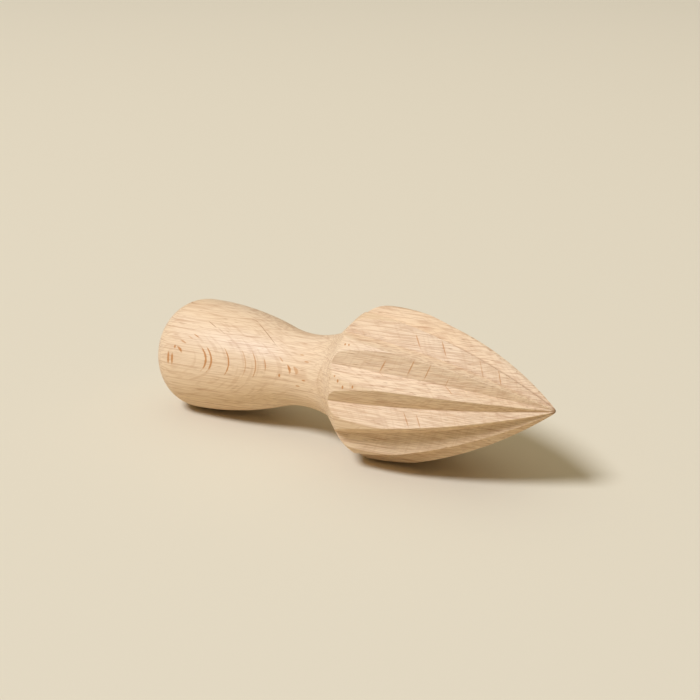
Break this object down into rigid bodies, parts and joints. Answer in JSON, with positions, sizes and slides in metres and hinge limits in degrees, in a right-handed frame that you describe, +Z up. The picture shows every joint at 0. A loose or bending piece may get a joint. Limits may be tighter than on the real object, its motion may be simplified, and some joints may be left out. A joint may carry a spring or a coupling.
{
  "type": "citrus reamer",
  "caption": "Hand citrus reamer turned from one piece of wood: rounded bulb handle, waisted neck and a pointed head with V flutes that meet in crests.",
  "frame": {"origin": "on the table under the middle of the piece as it lies at rest, at the bottom centre of its box", "axes": "+Z up, +X along the piece from the bulb towards the point, +Y to the left when looking from the bulb to the point"},
  "size_m": [0.1497, 0.0476, 0.0476],
  "materials": {
    "beech": "sanded, no lacquer; the flutes as milled"
  },
  "bodies": {
    "root": {"reamer": "beech"}
  },
  "joints": []
}
